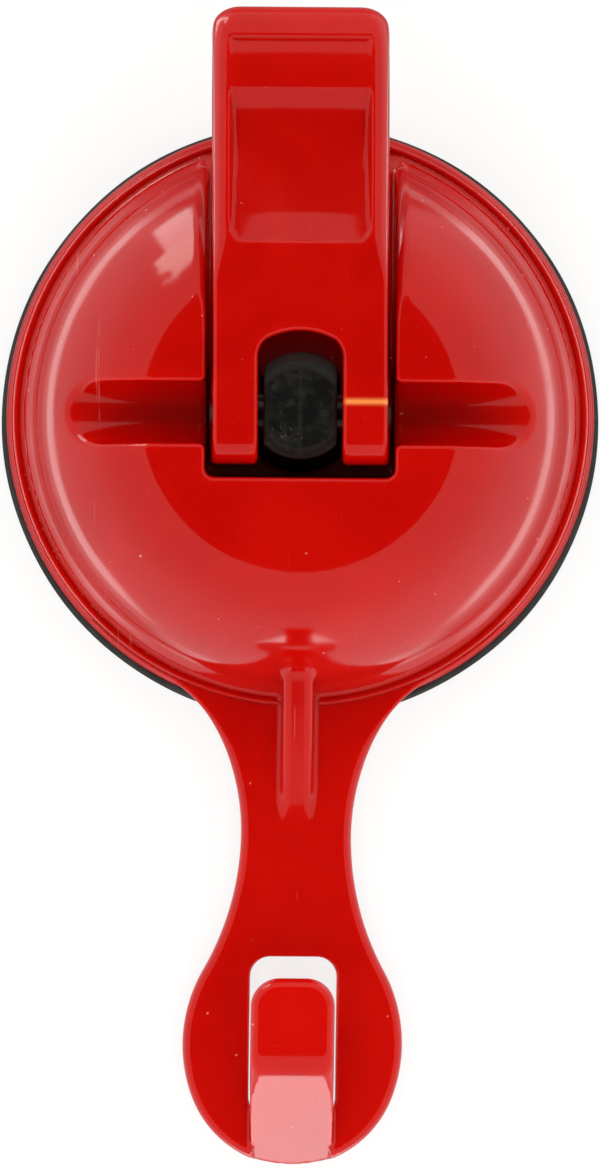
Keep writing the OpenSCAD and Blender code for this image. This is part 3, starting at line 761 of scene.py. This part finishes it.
nylon = bpy.data.materials.new("black_nylon")
nylon.use_nodes = True
tree = nylon.node_tree
skin = tree.nodes["Principled BSDF"]
skin.inputs["Specular IOR Level"].default_value = 0.35
place = node(tree, "ShaderNodeTexCoord").outputs["Object"]
flat = node(tree, "ShaderNodeVectorMath", operation="MULTIPLY")
flat.inputs[1].default_value = (1, 1, 0)
away_from_axis = node(tree, "ShaderNodeVectorMath", operation="LENGTH")
spot = node(tree, "ShaderNodeSeparateXYZ")
grime = node(tree, "ShaderNodeTexNoise", Scale=950.0, Detail=8.0, Roughness=0.75)
cloud = node(tree, "ShaderNodeTexNoise", Scale=330.0, Detail=3.0)
grit = node(tree, "ShaderNodeTexVoronoi", Scale=2600.0)
link(
    tree,
    (place, flat.inputs[0]), (flat.outputs[0], away_from_axis.inputs[0]), (place, spot.inputs[0]),
    (place, grime.inputs["Vector"]), (place, cloud.inputs["Vector"]), (place, grit.inputs["Vector"]),
)
dusty = fade(tree, grime.outputs["Fac"], 0.4, 0.68)
dusty = sums(tree, "MULTIPLY", dusty, fade(tree, cloud.outputs["Fac"], 0.3, 0.6))
# the bevel ring round the head's top is made paler, three quarters of the way to the dust's tone
bevel = fade(tree, away_from_axis.outputs["Value"], 0.0040, 0.0044)
seam = fade(tree, sums(tree, "ABSOLUTE", spot.outputs["X"]), 0.0001, 0.0003, 1.0, 0.0)
seam = sums(tree, "MULTIPLY", seam, fade(tree, grime.outputs["Fac"], 0.35, 0.55, 0.1, 0.6))
dust_bevel_and_seam = sums(tree, "MAXIMUM", sums(tree, "MAXIMUM", dusty, sums(tree, "MULTIPLY", bevel, 0.75)), seam)
shade = blend_colour(tree, dust_bevel_and_seam, (0.002, 0.002, 0.002), (0.016, 0.015, 0.014))
bits = fade(tree, grit.outputs["Distance"], 0.08, 0.2, 1.0, 0.0)
bits = sums(tree, "MULTIPLY", bits, fade(tree, cloud.outputs["Fac"], 0.5, 0.56))
shade = blend_colour(tree, sums(tree, "MULTIPLY", bits, 0.8), shade, (0.11, 0.1, 0.085))
bump = node(tree, "ShaderNodeBump", Strength=0.6, Distance=0.00006)
link(
    tree,
    (shade, skin.inputs["Base Color"]),
    (fade(tree, dust_bevel_and_seam, 0.0, 1.0, 0.5, 0.72), skin.inputs["Roughness"]),
    (grime.outputs["Fac"], bump.inputs["Height"]), (bump.outputs[0], skin.inputs["Normal"]),
)
stem.data.materials.append(nylon)


# ---------------------------------------------------------------- pivot pin
# Cut from steel wire with bevelled ends, and a close fit in the stem, with which it rises and sinks. The
# lever's legs turn on it.

pin_r, pin_half = 2.0, 8.85
pin_profile = rounded_profile(
    [
        (0, -pin_half, 0), (0, -8.8, 0), (1.5, -pin_half, 0.3), (1.85, -8.72, 0.15), (pin_r, -8.4, 0.15),
        (pin_r, 8.4, 0.15), (1.85, 8.72, 0.15), (1.5, pin_half, 0.3), (0, 8.8, 0), (0, pin_half, 0),
    ]
)[1:-1]
pin_points, pin_faces = turned(pin_profile, 64)
pin_points = np.column_stack([pin_points[:, 2], pin_points[:, 0], pin_points[:, 1] + pin_z])  # laid along X
pin_mesh = bpy.data.meshes.new("pivot_pin_steel")
pin_mesh.from_pydata((pin_points * MM).tolist(), [], pin_faces)
pin_mesh.polygons.foreach_set("use_smooth", np.ones(len(pin_mesh.polygons), dtype=bool))
pin = bpy.data.objects.new("pivot_pin_steel", pin_mesh)
scene.collection.objects.link(pin)
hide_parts("pivot_pin")
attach(pin, "stem")


def bare_steel(name, stretch, colour_of):
    """Steel of that colour, with marks and faint brown tarnish. The marks are fine along the axes where
    stretch is large, and long where it is small."""
    made = bpy.data.materials.new(name)
    made.use_nodes = True
    tree = made.node_tree
    skin = tree.nodes["Principled BSDF"]
    skin.inputs["Metallic"].default_value = 1.0
    drawn = node(tree, "ShaderNodeMapping", Scale=stretch)
    marks = node(tree, "ShaderNodeTexNoise", Scale=1.0, Detail=4.0)
    tarnish = node(tree, "ShaderNodeTexNoise", Scale=380.0, Detail=4.0)
    place = node(tree, "ShaderNodeTexCoord").outputs["Object"]
    link(
        tree,
        (place, drawn.inputs["Vector"]), (drawn.outputs[0], marks.inputs["Vector"]),
        (place, tarnish.inputs["Vector"]),
    )
    colour = blend_colour(tree, fade(tree, tarnish.outputs["Fac"], 0.45, 0.75), colour_of, (0.12, 0.09, 0.07))
    bump = node(tree, "ShaderNodeBump", Strength=0.3, Distance=0.00003)
    link(
        tree,
        (colour, skin.inputs["Base Color"]),
        (fade(tree, marks.outputs["Fac"], 0.3, 0.7, 0.22, 0.42), skin.inputs["Roughness"]),
        (marks.outputs["Fac"], bump.inputs["Height"]), (bump.outputs[0], skin.inputs["Normal"]),
    )
    return made


pin_mesh.materials.append(bare_steel("pin_steel", (150.0, 4200.0, 4200.0), (0.05, 0.048, 0.046)))


# ---------------------------------------------------------------- spring washer and return spring
# Steel, out of sight under the slot's floor. The flat stamped washer lies on the pad round the stem, and the
# conical wire spring between it and the hood pushes the pad's middle down again.

washer_at, washer_t = 5.0, 0.5
washer_in, washer_out, washer_steps = 5.45, 9.1, 96
section = np.array(
    [
        (washer_in, 0.06), (washer_in + 0.06, 0.0), (washer_out - 0.12, 0.0), (washer_out, 0.1),
        (washer_out, washer_t - 0.04), (washer_out - 0.04, washer_t), (washer_in + 0.12, washer_t),
        (washer_in, washer_t - 0.1),
    ]
)
washer_points = hooped(section + (0, washer_at), washer_steps)
washer_faces = ring_faces(washer_steps, len(section), True)
washer = put("spring_washer_steel", washer_points, washer_faces, "spring_washer")
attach(washer, "stem")
washer.data.materials.append(bare_steel("washer_steel", (900.0, 900.0, 900.0), (0.56, 0.56, 0.57)))

# Spring: at share s along the wire its middle lies at angle 2 pi turns s, with a radius and a height that
# change evenly with s. A point of its skin lies out from there by thick times (cosine, sine) of its own
# angle. The last row of points at each end is narrowed to a fiftieth.
wire_r, turns = 0.38, 2.25
coil_r, coil_narrows = 8.7, 2.6
coil_z, coil_rise = 5.9, 0.68
wire_rows, wire_sides = 200, 12
along = np.linspace(0, 1, wire_rows)[:, None]
round_wire = steps(0.0, 2 * math.pi, wire_sides)[None, :]
thick = wire_r * np.sqrt(np.clip(1 - np.clip(np.abs(along - 0.5) * 2 - 0.99, 0, 1) ** 2 / 0.01**2, 0.0004, 1))
coil = coil_r - coil_narrows * along + thick * np.cos(round_wire)
turn = 2 * math.pi * turns * along
spring_points = np.stack(
    [coil * np.cos(turn), coil * np.sin(turn), coil_z + coil_rise * along + thick * np.sin(round_wire)],
    axis=-1,
).reshape(-1, 3)
spring_faces = ring_faces(wire_rows, wire_sides, False)
spring = put("return_spring_wire", spring_points, spring_faces, "return_spring")
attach(spring, "hood")
spring.data.materials.append(bare_steel("spring_wire", (1400.0, 1400.0, 300.0), (0.5, 0.5, 0.52)))
